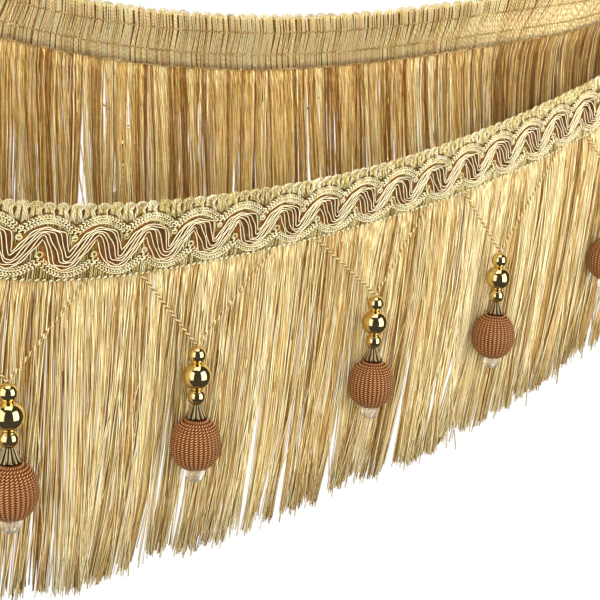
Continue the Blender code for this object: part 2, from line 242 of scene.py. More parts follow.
def mix_colours(tree, factor, first, second, **settings):
    mix = add_node(tree, "ShaderNodeMix", {"Factor": factor, "A": first, "B": second},
                   data_type="RGBA", **settings)
    return mix.outputs["Result"]


def remap(tree, value, low, high, to_low=0.0, to_high=1.0):
    """A value moved, and held, from one range to another."""
    return add_node(tree, "ShaderNodeMapRange", {
        "Value": value, "From Min": low, "From Max": high,
        "To Min": to_low, "To Max": to_high,
    }).outputs["Result"]


def own_shade(tree):
    """The shade that the mesh carries for each yarn."""
    return add_node(tree, "ShaderNodeAttribute", attribute_name="shade").outputs["Fac"]


def uv_parts(tree):
    """The two numbers of a piece's own UV map: round it, and along it."""
    place = add_node(tree, "ShaderNodeUVMap").outputs["UV"]
    parts = add_node(tree, "ShaderNodeSeparateXYZ", {"Vector": place})
    return parts.outputs["X"], parts.outputs["Y"]


print("node helpers: ready")


# %% Two yarn effects
UNEVEN_SCALE, UNEVEN_DETAIL = 520.0, 4.0
DRIFT_SCALE, HUE_DRIFT = 160.0, (0.486, 0.502)


def yarn_shade_group():
    """A colour between three, by each yarn's own shade, some unevenness and a drift of hue."""
    group, given, result = new_group(
        "yarn_shade",
        [("Dark", "NodeSocketColor", GREY), ("Middle", "NodeSocketColor", GREY),
         ("Light", "NodeSocketColor", GREY), ("Unevenness", "NodeSocketFloat", 0.2)],
        [("Color", "NodeSocketColor")])
    place = add_node(group, "ShaderNodeTexCoord").outputs["Object"]
    noise = add_node(group, "ShaderNodeTexNoise",
                     {"Vector": place, "Scale": UNEVEN_SCALE, "Detail": UNEVEN_DETAIL})
    centred = calculate(group, "SUBTRACT", noise.outputs["Fac"], 0.5)
    uneven = calculate(group, "MULTIPLY", centred, given.outputs["Unevenness"])
    tone = calculate(group, "ADD", own_shade(group), uneven)
    colour = given.outputs["Dark"]
    for low, high, target in ((0.0, 0.5, "Middle"), (0.5, 1.0, "Light")):
        colour = mix_colours(group, remap(group, tone, low, high), colour, given.outputs[target])
    drift = add_node(group, "ShaderNodeTexNoise", {"Vector": place, "Scale": DRIFT_SCALE})
    swing = remap(group, drift.outputs["Fac"], 0.3, 0.7, *HUE_DRIFT)
    hue = add_node(group, "ShaderNodeHueSaturation", {"Hue": swing, "Color": colour})
    feed(group, result.inputs["Color"], hue.outputs["Color"])
    return group


def ply_twist_group():
    """Height of a twisted yarn's surface: its plies run slanting round it."""
    group, given, result = new_group(
        "ply_twist", [("Plies", "NodeSocketFloat", 2.0)], [("Height", "NodeSocketFloat")])
    turn, along = uv_parts(group)
    round_it = calculate(group, "MULTIPLY", turn, given.outputs["Plies"])
    slant = calculate(group, "ADD", round_it, along)
    wave = calculate(group, "SINE", calculate(group, "MULTIPLY", slant, math.pi))
    feed(group, result.inputs["Height"], calculate(group, "ABSOLUTE", wave))
    return group


YARN_SHADE = yarn_shade_group()
PLY_TWIST = ply_twist_group()
print("yarn effects:", YARN_SHADE.name, PLY_TWIST.name)


# %% [markdown]
# Each yarn colour is one Principled material, with a dark, a middle and a light colour for
# the shades to run between. Filament yarn is smoother than wool or cotton, so its roughness
# is low, and a little sheen stands for the light that the fine filaments catch edge on. Its
# shine is tinted warm, because white highlights would turn gold yarn grey. A yarn with
# plies is painted darker in the grooves between them, as shade. The satins of the zigzag
# and the core behind the yarns have no sheen and little shine, so they stay dark; the
# core's dark colour is painted shade for the gaps between the yarns.


# %% Yarn materials
WARM_SHINE = (1.0, 0.86, 0.58, 1.0)
# Painted shade: the colour that darkens a yarn between its plies, and the ply height by which
# that darkening has faded out.
GROOVE = (0.28, 0.15, 0.035, 1.0)  # tint of a yarn between its plies
GROOVE_EDGE = 0.8  # height at which the tint has faded out
PLY_HEIGHT = 0.15


def new_material(name, roughness, metallic=0.0):
    material = bpy.data.materials.new(name)
    material.use_nodes = True
    tree = material.node_tree
    shader = tree.nodes["Principled BSDF"]
    shader.inputs["Roughness"].default_value = roughness
    shader.inputs["Metallic"].default_value = metallic
    return material, shader, tree


def add_bump(tree, shader, height, distance, strength=0.6):
    bump = add_node(tree, "ShaderNodeBump",
                    {"Strength": strength, "Distance": distance * MM, "Height": height})
    feed(tree, shader.inputs["Normal"], bump.outputs["Normal"])


def yarn_material(name, dark, middle, light, roughness=0.38, unevenness=0.7, plies=0,
                  sheen=0.06, shine=0.5):
    material, shader, tree = new_material(name, roughness)
    shader.inputs["Specular Tint"].default_value = WARM_SHINE
    shader.inputs["Specular IOR Level"].default_value = shine
    shader.inputs["Sheen Weight"].default_value = sheen
    shader.inputs["Sheen Roughness"].default_value = 0.4
    shade = add_node(tree, "ShaderNodeGroup", {
        "Dark": (*dark, 1.0), "Middle": (*middle, 1.0), "Light": (*light, 1.0),
        "Unevenness": unevenness,
    }, node_tree=YARN_SHADE)
    colour = shade.outputs["Color"]
    if plies:
        twist = add_node(tree, "ShaderNodeGroup", {"Plies": plies}, node_tree=PLY_TWIST)
        height = twist.outputs["Height"]
        # Painted shade: the colour is darkened in the grooves between the plies.
        groove_shade = mix_colours(tree, remap(tree, height, 0.0, GROOVE_EDGE), GROOVE, WHITE)
        colour = mix_colours(tree, 1.0, colour, groove_shade, blend_type="MULTIPLY")
        add_bump(tree, shader, height, PLY_HEIGHT)
    feed(tree, shader.inputs["Base Color"], colour)
    return material


fringe_yarn = yarn_material(
    "fringe_yarn", (0.24, 0.105, 0.012), (0.78, 0.53, 0.145), (1.0, 0.90, 0.50),
    roughness=0.30, unevenness=0.35, plies=2)
ground_yarn = yarn_material(
    "ground_yarn", (0.38, 0.21, 0.04), (0.96, 0.74, 0.31), (1.0, 0.93, 0.54), plies=2)
pale_yarn = yarn_material(
    "pale_yarn", (0.26, 0.17, 0.03), (0.80, 0.69, 0.27), (1.0, 0.97, 0.68), plies=2)
cream_cord = yarn_material(
    "cream_cord", (0.60, 0.42, 0.20), (0.98, 0.85, 0.50), (1.0, 0.96, 0.68))
chain_yarn = yarn_material(
    "chain_yarn", (0.26, 0.16, 0.03), (0.90, 0.76, 0.36), (1.0, 0.97, 0.70))
brown_satin = yarn_material(
    "brown_satin", (0.025, 0.009, 0.001), (0.10, 0.042, 0.007), (0.30, 0.15, 0.035),
    roughness=0.40, sheen=0.0, shine=0.1)
rust_satin = yarn_material(
    "rust_satin", (0.06, 0.022, 0.002), (0.22, 0.085, 0.010), (0.45, 0.23, 0.045),
    roughness=0.40, sheen=0.0, shine=0.15)
string_yarn = yarn_material(
    "string_yarn", (0.16, 0.08, 0.012), (0.55, 0.35, 0.09), (1.0, 0.84, 0.42))
# Painted shade: this dark colour, on the core and on the sheets under the braids, stands for the
# shade in the gaps between yarns and stitches.
painted_gap_shade = yarn_material(
    "painted_gap_shade", (0.045, 0.025, 0.005), (0.13, 0.075, 0.016), (0.26, 0.17, 0.045),
    roughness=0.7, sheen=0.0, shine=0.1)
print("yarn colours:", *(yarn.name for yarn in (
    fringe_yarn, ground_yarn, pale_yarn, cream_cord, chain_yarn, brown_satin, rust_satin,
    string_yarn, painted_gap_shade)))

# %% [markdown]
# ## One straight yarn, bent a thousand ways
#
# Modelling thousands of yarns one by one would be slow. Here one straight bar is modelled,
# by extruding a small polygon ring by ring. A piece is then made of many copies of it, and
# each copy's rings are moved onto a path of its own. A curve object with a bevel would do
# too, but a bar keeps its own UV map and takes a shade for each yarn.


# %% Mesh helpers
def mesh_of(name, shape):
    """A finished bmesh as a mesh."""
    mesh = bpy.data.meshes.new(name)
    shape.to_mesh(mesh)
    shape.free()
    return mesh


def wrap_uv(shape, height):
    """A UV map that runs once round the upright axis, and once up it over a height."""
    uv = shape.loops.layers.uv.new("UVMap")
    for face in shape.faces:
        turns = [math.atan2(loop.vert.co.y, loop.vert.co.x) / math.tau % 1.0
                 for loop in face.loops]
        wraps = max(turns) - min(turns) > 0.5
        for loop, turn in zip(face.loops, turns):
            loop[uv].uv = (turn + (wraps and turn < 0.5), loop.vert.co.z / height)


def vertex_places(mesh):
    return np.array([vert.co for vert in mesh.vertices])


def settle(mesh, places, shades):
    """Moves a mesh's vertices to places in millimetres and notes the shade of each."""
    mesh.vertices.foreach_set("co", (places * MM).ravel())
    shade = mesh.attributes.new("shade", "FLOAT", "POINT")
    shade.data.foreach_set("value", shades)
    mesh.shade_smooth()
    mesh.update()


def new_object(name, data):
    made = bpy.data.objects.new(name, data)
    bpy.context.scene.collection.objects.link(made)
    return made


def show(mesh, material):
    """Puts a mesh in the scene as a piece of the trim."""
    mesh.materials.clear()
    mesh.materials.append(material)
    piece = new_object(mesh.name, mesh)
    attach(piece, "root")
    return piece


print("mesh helpers: ready")


# %% Laying yarns
UV_STARTS = 8  # yarns start anywhere in this many turns of their pattern


def straight_yarn(sides, rings):
    """A closed bar of radius 1 with a ring at each whole height, and its UV map."""
    shape = bmesh.new()
    bmesh.ops.create_circle(shape, cap_ends=True, segments=sides, radius=1.0)
    ends = list(shape.faces)
    for _ in range(rings - 1):
        ends = bmesh.ops.extrude_discrete_faces(shape, faces=ends)["faces"]
        bmesh.ops.translate(shape, vec=(0, 0, 1), verts=ends[0].verts)
    bmesh.ops.holes_fill(shape, edges=shape.edges, sides=sides)
    bmesh.ops.recalc_face_normals(shape, faces=shape.faces)
    wrap_uv(shape, rings - 1)
    return mesh_of("straight_yarn", shape)


def lay_yarns(name, paths, face, radius, material, shades, twists=1.0, sides=3):
    """Many copies of a straight yarn as one piece.

    paths and face hold a place and an outward direction for every ring of every yarn, and
    radius may be one number or one for every ring.
    """
    count, rings = paths.shape[:2]
    yarn = straight_yarn(sides, rings)
    shape = bmesh.new()
    for _ in range(count):
        shape.from_mesh(yarn)
    mesh = mesh_of(name, shape)
    home = vertex_places(yarn)
    ring = home[:, 2].round().astype(int)
    run = unit(np.gradient(paths, axis=1))
    side = unit(np.cross(face, run))
    front = np.cross(run, side)
    radius = np.broadcast_to(radius, (count, rings))[..., None]
    places = paths[:, ring] + radius[:, ring] * (
        side[:, ring] * home[:, :1] + front[:, ring] * home[:, 1:2])
    settle(mesh, places, np.repeat(shades, len(home)))
    uv = np.zeros(len(mesh.loops) * 2)
    mesh.uv_layers["UVMap"].data.foreach_get("uv", uv)
    starts = rng.uniform(0, UV_STARTS, count)
    uv[1::2] = uv[1::2] * twists + np.repeat(starts, len(yarn.loops))
    mesh.uv_layers["UVMap"].data.foreach_set("uv", uv)
    triangles = sum(len(face.vertices) - 2 for face in mesh.polygons)
    print(f"{name}: {count} yarns, {triangles} triangles")
    return show(mesh, material)


def on_heading(s, across, outward):
    """Places on the heading and the directions that face out from it there."""
    s, across, outward = np.broadcast_arrays(s, across, outward)
    centre, _, up, out, _ = heading.at(s)
    return centre + up * across[..., None] + out * outward[..., None], out


rng = np.random.default_rng(11)


def shades_for(count, middle=0.5, spread=0.2):
    return np.clip(rng.normal(middle, spread, count), 0.0, 1.0)


# %% [markdown]
# ## The woven ground
#
# The ground of the heading is a band of yarns laid side by side across its width and held
# by rows of chain stitches. A thin sheet in the middle stands for the stitched core, which
# stops light between the yarns. Its dark colour is painted shade for the gaps between the
# yarns. It is cut from a flat grid and laid on the line.

# %% Core sheet
CORE_LOW, CORE_HIGH = -14.2, 12.0
CORE_T = 0.4
CORE_STEPS = (520, 6)  # along and across
WORK_LENGTH = heading.length - SEAM_GAP


def cloth_sheet(name, along, across, outward, material, shades):
    """A thin sheet on the heading; each argument is an array of rows by columns."""
    rows, columns = along.shape
    shape = bmesh.new()
    bmesh.ops.create_grid(shape, x_segments=rows - 1, y_segments=columns - 1, size=0.5)
    mesh = mesh_of(name, shape)
    flat = vertex_places(mesh)[:, :2] + 0.5
    row, column = (flat * (rows - 1, columns - 1)).round().astype(int).T
    places, _ = on_heading(along[row, column], across[row, column], outward[row, column])
    settle(mesh, places, np.broadcast_to(shades, along.shape)[row, column])
    print(f"{name}: {2 * (rows - 1) * (columns - 1)} triangles")
    return show(mesh, material)


def core_sheet():
    along, across = np.meshgrid(
        SEAM_GAP / 2 + np.linspace(0, WORK_LENGTH, CORE_STEPS[0]),
        np.linspace(CORE_LOW, CORE_HIGH, CORE_STEPS[1]), indexing="ij")
    # The core is real; its dark colour is painted shade for the gaps between the yarns.
    piece = cloth_sheet("heading_core", along, across, 0 * along, painted_gap_shade, 0.5)
    solid = piece.modifiers.new("thickness", "SOLIDIFY")
    solid.thickness = CORE_T * MM
    solid.offset = 0.0
    return piece


core = core_sheet()
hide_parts("heading_tape")

# %% [markdown]
# On the wrong side the yarns show as small cells, four yarns to a cell, with a stitch row
# above, between and below three bands. The middle band slants, and the top band is drawn
# together once more under each loop of the edge. On the right side the yarns show above,
# between and below the braids, and fan out from the loops of the edge.

# %% Ground yarns on both sides
REPEATS = 53
FIRST_PHASE = 0.616
REPEAT = heading.length / REPEATS
PICOTS = 4  # loops of the edge in a repeat
PICOT = REPEAT / PICOTS
CELLS = 8  # cells of the wrong side in a repeat
CELL = REPEAT / CELLS
CELL_YARNS, PICOT_YARNS = 4, 6
CELL_DRAW = (0.02, 0.36)  # how far a cell's yarns draw together: least, and more
WRONG_R, RIGHT_R = 0.35, 0.36
ROWS = (5.3, -6.1, -13.9)  # stitch rows of the wrong side, across the heading
SEAM_CLEAR = 0.4

# heights across the heading, and then values at such heights
WRONG_ACROSS = np.array([13.3, 10.5, 7.5, 5.4, 2.5, -3.0, -6.2, -10.0, -14.4])
WRONG_LEAN = ((-14.4, -6.1, 5.3, 12.1), (0.0, 0.2, -1.9, -1.6))
WRONG_GATHER = ((5.3, 13.3), (0.0, 0.12))
WRONG_OUT = ((-14.4, -10.0, -6.1, -1.0, 5.3, 9.0, 12.1),
             (-0.5, -0.8, -0.45, -0.85, -0.45, -0.8, -0.35))
RIGHT_ACROSS = np.array([13.4, 10.8, 8.5, 5.0, -4.0, -10.0, -12.6, -14.5])
RIGHT_GATHER = ((-14.5, 3.0, 8.0, 13.4), (0.0, 0.0, 0.06, 0.40))
RIGHT_OUT = ((-14.5, -9.0, 6.0, 10.8, 13.4), (0.5, 0.6, 0.65, 0.35, 0.1))


def cut_ends(margin):
    """Distances of the two cut ends along the heading, each with a margin."""
    return SEAM_GAP / 2 + margin, heading.length - SEAM_GAP / 2 - margin


def clear_of_seam(s):
    low, high = cut_ends(SEAM_CLEAR)
    return (s > low) & (s < high)


def off_loop(s):
    """How far each yarn is from the middle of its loop of the edge."""
    return (s % PICOT - PICOT / 2)[:, None]


def wrong_side():
    s = (np.arange(REPEATS * CELLS * CELL_YARNS) + 0.5) * CELL / CELL_YARNS
    cell = (s // CELL).astype(int)
    drawn = (CELL_DRAW[0] + CELL_DRAW[1] * rng.uniform(0, 1, REPEATS * CELLS) ** 3)[cell]
    s = s - (s % CELL / CELL - 0.5) * drawn * CELL + rng.normal(0, 0.04, len(s))
    s = s[clear_of_seam(s)]
    lean = np.interp(WRONG_ACROSS, *WRONG_LEAN)
    loop = np.interp(WRONG_ACROSS, *WRONG_GATHER)
    along = s[:, None] - off_loop(s) * loop
    along = along + lean * rng.uniform(0.75, 1.25, len(s))[:, None]
    paths, out = on_heading(along, WRONG_ACROSS, np.interp(WRONG_ACROSS, *WRONG_OUT))
    lay_yarns("wrong_side_yarns", paths, -out, WRONG_R, ground_yarn,
              shades_for(len(s), 0.64, 0.26), twists=13)


def right_side():
    s = (np.arange(REPEATS * PICOTS * PICOT_YARNS) + 0.5) * PICOT / PICOT_YARNS
    s = s[clear_of_seam(s)]
    gather = np.interp(RIGHT_ACROSS, *RIGHT_GATHER)
    along = s[:, None] - off_loop(s) * gather + rng.normal(0, 0.10, (len(s), 1))
    paths, out = on_heading(along, RIGHT_ACROSS, np.interp(RIGHT_ACROSS, *RIGHT_OUT))
    lay_yarns("right_side_yarns", paths, out, RIGHT_R, pale_yarn,
              shades_for(len(s), 0.42, 0.22), twists=12)


wrong_side()
right_side()

# %% [markdown]
# ## Small stitches
#
# Chain stitches are loops, each caught in the one before. From a step away a loop shows as
# two grains side by side that meet in a point, so a stitch of the scalloped braids is a
# pair of short fat yarns. The root row is a line of single grains. On the wrong side only
# one yarn of a stitch shows, and it sags between two cells.

# %% Grains, stitch rows and root row
# radius and bow at each ring, as shares of a grain's radius, and the stitches' radius in mm
GRAIN_SHAPE = np.array([0.4, 1.0, 0.95, 0.35])
GRAIN_BOW = np.array([-0.25, 0.1, 0.1, -0.35])
STITCH_SHAPE = np.array([0.20, 0.38, 0.42, 0.38, 0.20])
STITCH_L = 1.15 * CELL
ROOT_L, ROOT_R, ROOT_SLANT = 1.7, 0.42, (0.85, 0.5)


def grains(name, s, across, outward, run, length, radius, material, shades):
    """Short fat yarns at places on the heading; run is each one's slant in (s, across)."""
    step = np.linspace(-0.5, 0.5, len(GRAIN_SHAPE)) * length
    paths, out = on_heading(s[:, None] + step * run[:, :1], across[:, None] + step * run[:, 1:],
                            outward[:, None] + GRAIN_BOW * radius)
    keep = clear_of_seam(s)
    return lay_yarns(name, paths[keep], out[keep], radius * GRAIN_SHAPE, material, shades[keep])


def stitch_row(number, row):
    """Stitches of the wrong side, each a short yarn that sags between two cells, painted dark as
    shade.
    """
    s = np.arange(1, REPEATS * CELLS) * CELL
    t = np.linspace(-0.5, 0.5, len(STITCH_SHAPE))
    paths, out = on_heading(s[:, None] + t * STITCH_L, row + 3.6 * t ** 2 - 0.6 * t,
                            -0.95 + 0.9 * t ** 2)
    # Painted shade: the stitches get low shades, darker than the ground around them.
    lay_yarns(f"wrong_side_stitches_{number}", paths, -out, STITCH_SHAPE, ground_yarn,
              shades_for(len(s), 0.14, 0.12), twists=2)


def root_row():
    s = (np.arange(REPEATS * CELLS) + 0.5) * CELL
    grains("right_side_root_row", s, rng.normal(ROWS[2], 0.1, len(s)), np.ones(len(s)),
           np.tile(ROOT_SLANT, (len(s), 1)), ROOT_L, ROOT_R, chain_yarn,
           shades_for(len(s), 0.7, 0.15))


for number, row in enumerate(ROWS, 1):
    stitch_row(number, row)
root_row()

# %% [markdown]
# ## Loops of the edge
#
# The top edge is a row of small loops, four to each zigzag, made by the outermost yarns as
# they turn back. Three yarns lie side by side in each: two legs rise from the upper braid,
# draw together at a neck and open again into a round head.

# %% Edge loops
LOOP_SHAPE = ((2.50, 7.8), (1.95, 9.8), (1.45, 11.6), (2.05, 12.4), (2.25, 13.2), (1.35, 14.1),
              (0.0, 14.4))  # half a loop: aside, height
LOOP_NECK, LOOP_HALF = 11.2, 2.4
LOOP_OUT = ((7.6, 11.2, 12.5), (0.75, 0.35, 0.0))
LOOP_YARNS, LOOP_R = 3, 0.31


def edge_loops():
    s = (np.arange(REPEATS * PICOTS) + 0.5) * PICOT
    s = s[clear_of_seam(s - LOOP_HALF) & clear_of_seam(s + LOOP_HALF)]
    half = np.array(LOOP_SHAPE)
    aside, height = np.concatenate([half * (-1, 1), half[-2::-1]]).T
    size = rng.uniform(0.9, 1.1, len(s))[:, None]
    lean = rng.normal(0.08, 0.14, len(s))[:, None]
    t = np.linspace(-1, 1, len(height))
    head = np.maximum(height - LOOP_NECK, 0)
    for inset in range(LOOP_YARNS):
        along = aside * (1 - 0.30 * inset) * size + lean * head
        across = height - 0.20 * inset * head + 0.5 * (size - 1) * head
        outward = 0.75 + 0.25 * t - 0.12 * inset + np.interp(height, *LOOP_OUT)
        paths, out = on_heading(s[:, None] + along, across, outward)
        lay_yarns(f"edge_loops_{inset + 1}", paths, out, LOOP_R, pale_yarn,
                  shades_for(len(s), 0.74 - 0.10 * inset, 0.2), twists=9)


edge_loops()

# %% [markdown]
# ## Scalloped chain braids
#
# A pale braid of two chain rows swings up and down in arcs, one to each zigzag, above it
# and below it. Its stitches are laid at even steps along the arc, and each row is a pair of
# grains slanted towards each other, over a dark sheet that is painted shadow between them. A
# thin dark rust cord runs along the top of the upper braid, partly a rust ribbon and partly
# painted shadow beside the braid, and where two arcs meet the braid turns in a small open
# ring.

# %% Chain braids
STITCHES = 18  # in an arc
BRAID_OUT, BRAID_HALF = 1.35, 1.7
BRAID_ROWS, LEGS_OFF = (-0.85, 0.85), 0.38  # places of the chains and of their grains
GRAIN_L, GRAIN_R = 1.45, 0.35
# where the dark painted-shadow sheet under a braid lies: its lines across the arc, and how far
# out
SHADOW_SHEET_EDGES, SHADOW_SHEET_OUT = np.array([-1.5, 0.0, 1.5]), 1.05
SIDE_CORD_R, SIDE_CORD_OUT = 0.27, 1.15
RING_HALF, RING_R = 2, 0.36
UPPER_ARC = (3.3, 8.5, 0.0)  # middle line's height at the cusps and the crest, cusp's phase
LOWER_ARC = (-6.1, -11.3, 0.40)


def arc_line(phase, arc):
    """Height of an arc's middle line, and the way it runs, at a phase of the repeat."""
    cusp, crest, shift = arc

    def height(value):
        return cusp + (crest - cusp) * np.abs(np.sin(np.pi * (value - shift))) ** 0.8
    step = 0.03
    slope = (height(phase + step) - height(phase - step)) / (2 * step * REPEAT)
    return height(phase), unit(np.stack([np.ones_like(slope), slope], axis=1))


def beside_arc(steps, arc, aside):
    """Distances and heights of lines beside an arc's middle line, from seam to seam."""
    s = np.linspace(*cut_ends(0.5), REPEATS * steps + 1)
    height, run = arc_line(s / REPEAT + FIRST_PHASE, arc)
    return s[:, None] - run[:, 1:] * aside, height[:, None] + run[:, :1] * aside


def chain_braid(name, node, arc):
    parts = []
    phase = np.arange((REPEATS + 1) * STITCHES) / STITCHES
    middle, run = arc_line(phase, arc)
    aside = np.stack([-run[:, 1], run[:, 0]], axis=1)
    for row in BRAID_ROWS:
        for leg in (-1, 1):
            off = row + leg * LEGS_OFF
            outward = np.full(len(phase), BRAID_OUT + 0.45 * (1 - (off / BRAID_HALF) ** 2))
            parts.append(((phase - FIRST_PHASE) * REPEAT + aside[:, 0] * off,
                          middle + aside[:, 1] * off, outward, unit(run - aside * leg * 0.5)))
    s, across, outward, slanted = (np.concatenate(column) for column in zip(*parts))
    braid = grains(name, s, across, outward, slanted, GRAIN_L, GRAIN_R, chain_yarn,
                   shades_for(len(s), 0.68, 0.18))
    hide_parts(node)


def braid_shadow_sheet(name, arc):
    """A dark sheet under a braid's stitches, painted shadow that shows between them."""
    along, across = beside_arc(20, arc, SHADOW_SHEET_EDGES)
    cloth_sheet(name, along, across, np.full(along.shape, SHADOW_SHEET_OUT), painted_gap_shade, 0.3)


def side_cord_and_shadow(name, arc, aside):
    """The thin dark rust cord that follows a braid on one side: partly a rust ribbon, partly
    painted shadow.
    """
    along, across = beside_arc(14, arc, aside)
    paths, out = on_heading(along.T, across.T, SIDE_CORD_OUT)
    lay_yarns(name, paths, out, SIDE_CORD_R, rust_satin, np.array([0.2]), twists=900, sides=4)


def cusp_rings(name, arc, aside):
    """The open rings in which a braid turns; aside moves them off its middle line."""
    s = (np.arange(REPEATS + 1) + arc[2] - FIRST_PHASE) * REPEAT
    s = s[clear_of_seam(s - RING_HALF) & clear_of_seam(s + RING_HALF)]
    turn = np.linspace(-2.9, 2.9, 10)
    size = rng.uniform(0.85, 1.1, len(s))[:, None]
    paths, out = on_heading(s[:, None] + 1.05 * size * np.sin(turn),
                            arc[0] + aside + math.copysign(0.9, aside) * size * np.cos(turn),
                            1.45 + 0.06 * turn)
    lay_yarns(name, paths, out, RING_R, pale_yarn, shades_for(len(s), 0.72, 0.12), twists=7,
              sides=4)


braid_shadow_sheet("upper_braid_shadow_sheet", UPPER_ARC)
braid_shadow_sheet("lower_braid_shadow_sheet", LOWER_ARC)
chain_braid("upper_braid", "braid_upper", UPPER_ARC)
chain_braid("lower_braid", "braid_lower", LOWER_ARC)
side_cord_and_shadow("upper_side_cord_and_shadow", UPPER_ARC, 2.1)
cusp_rings("upper_cusp_rings", UPPER_ARC, -1.7)
cusp_rings("lower_cusp_rings", LOWER_ARC, 1.7)

# %% [markdown]
# ## The zigzag
#
# Six pale cords run side by side, up and down, with dark brown satin between them and
# rust satin beyond. On the real trim each limb is folded over the end of the one before.
# Here every line of the zigzag is the same sharp zigzag, moved up and along by its place in
# the band. Its corners are softly cut off under an arc at the top and the foot, so the
# lines never cross, and its falling limbs are bowed a little along the heading. The satin
# is stretched over the same lines.

# %% Lines of the zigzag
ZIG_TOP = (0.475, 7.6)  # sharp corners of the middle line: phase, height
ZIG_FOOT = (0.83, -10.0)
ZIG_SHIFT = (1.47, 6.2)  # how far the outermost cord is moved, along and up
ZIG_LEVELS = (5.7, -9.5)  # where the outermost lines are cut off
ZIG_NARROWS = (1.6, 2.6)  # how far the lines close up at a top and at a foot
ZIG_SOFT = 0.5  # how softly they are cut off
ZIG_ROUND, ZIG_DROP = 0.085, 1.9  # sharpness and depth of the arc over a corner
ZIG_BOW = 1.5  # how far the falling limbs are bowed
ZIG_WOBBLE = 0.07
RISE_STEPS, FALL_STEPS = 18, 16
FOLD_LIFT = 0.55


def zigzag_steps():
    """Along, height, share of the limb and whether it rises, at steps of the middle line."""
    rows = []
    for repeat in range(REPEATS + 2):
        foot = ((repeat - 1 + ZIG_FOOT[0] - FIRST_PHASE) * REPEAT, ZIG_FOOT[1])
        top = ((repeat + ZIG_TOP[0] - FIRST_PHASE) * REPEAT, ZIG_TOP[1])
        next_foot = (foot[0] + REPEAT, ZIG_FOOT[1])
        for start, end, count, rising in ((foot, top, RISE_STEPS, 1),
                                          (top, next_foot, FALL_STEPS, 0)):
            share = np.arange(count) / count
            rows.append(np.stack([start[0] + (end[0] - start[0]) * share,
                                  start[1] + (end[1] - start[1]) * share,
                                  share, np.full(count, rising)], axis=1))
    steps = np.concatenate(rows)
    return steps[clear_of_seam(steps[:, 0] - 2.0) & clear_of_seam(steps[:, 0] + 2.0)]


ZIG = zigzag_steps()
ZIG_LIFT = FOLD_LIFT * np.where(ZIG[:, 2] == 0, 0.5, 1 - ZIG[:, 2])


def rounding(corner, aside):
    """How far the arc over a top or foot of the zigzag has dropped at every step."""
    away = ZIG[:, 0] - (corner[0] - FIRST_PHASE) * REPEAT + REPEAT / 2
    away = away % REPEAT - REPEAT / 2 + aside
    return ZIG_DROP * np.tanh(ZIG_ROUND / ZIG_DROP * away ** 2)


def zigzag_line(place, outward):
    """One line of the zigzag; place is -1 at the lowest cord and 1 at the highest."""
    place = (place + ZIG_WOBBLE * np.sin(0.55 * ZIG[:, 0] + 5 * place)
             + ZIG_WOBBLE * np.sin(1.3 * ZIG[:, 0] + 11 * place))
    top = ZIG_LEVELS[0] - ZIG_NARROWS[0] * (1 - place) - rounding(ZIG_TOP, 0.8 * (1 + place))
    foot = ZIG_LEVELS[1] + ZIG_NARROWS[1] * (1 + place) + rounding(ZIG_FOOT, -0.9 * (1 - place))
    height = ZIG[:, 1] + ZIG_SHIFT[1] * place
    height = -ZIG_SOFT * np.logaddexp(-height / ZIG_SOFT, -top / ZIG_SOFT)
    height = ZIG_SOFT * np.logaddexp(height / ZIG_SOFT, foot / ZIG_SOFT)
    bow = ZIG_BOW * (1 + place) / 2 * np.sin(np.pi * ZIG[:, 2]) * (1 - ZIG[:, 3])
    return ZIG[:, 0] + ZIG_SHIFT[0] * place + bow, height, outward + ZIG_LIFT


print("zigzag line:", len(ZIG), "steps")

# %% Cords and satin of the zigzag
CORDS = np.array([-1.0, -0.64, -0.20, 0.16, 0.62, 1.0])
CORD_SHADES = np.array([0.7, 0.5, 0.8, 0.6, 0.75, 0.6])
CORD_R = 0.24
CORD_OUT, SATIN_OUT, RUST_OUT = 1.9, 1.95, 1.2
SATIN_EDGE = 1.15  # place of its edges, beyond the outermost cords
EDGE_DIP, CORD_DIP = -0.5, -0.35  # how far it dips at its edges and under the cords


def zigzag_cords():
    rows = [on_heading(*zigzag_line(place, CORD_OUT)) for place in CORDS]
    paths, out = (np.stack(part) for part in zip(*rows))
    cords = lay_yarns("zigzag_cords", paths, out, CORD_R, cream_cord, CORD_SHADES)
    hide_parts("zigzag_braid")


def zigzag_sheet(name, columns, material, shades):
    """Cloth stretched over lines of the zigzag, each given by its place and its lift."""
    lines = [zigzag_line(place, outward) for place, outward in columns]
    along, across, outward = (np.stack(part, axis=1) for part in zip(*lines))
    cloth_sheet(name, along, across, outward, material, shades)


def zigzag_satin():
    """Dark bands that bulge between the cords and dip under them."""
    between = (CORDS[1:] + CORDS[:-1]) / 2
    places = np.sort(np.concatenate([[-SATIN_EDGE], CORDS, between, [SATIN_EDGE]]))
    dips = np.where(np.arange(len(places)) % 2, CORD_DIP, 0.0)
    dips[[0, -1]] = EDGE_DIP
    zigzag_sheet("zigzag_satin", zip(places, SATIN_OUT + dips), brown_satin,
                 rng.uniform(0.25, 0.75, len(places)))


def rust_border():
    """A wider sheet under the satin, which shows on the outer side of every limb."""
    rising = np.convolve(np.pad(ZIG[:, 3], 3, mode="edge"), np.ones(7) / 7, mode="valid")
    low, high = -SATIN_EDGE - 0.35 * (1 - rising), SATIN_EDGE + 0.25 * rising
    zigzag_sheet("rust_border", [(low, RUST_OUT + EDGE_DIP), (0.8 * low, RUST_OUT),
                                 (0.8 * high, RUST_OUT), (high, RUST_OUT + EDGE_DIP)],
                 rust_satin, np.array([0.3, 0.6, 0.6, 0.3]))


zigzag_cords()
zigzag_satin()
rust_border()

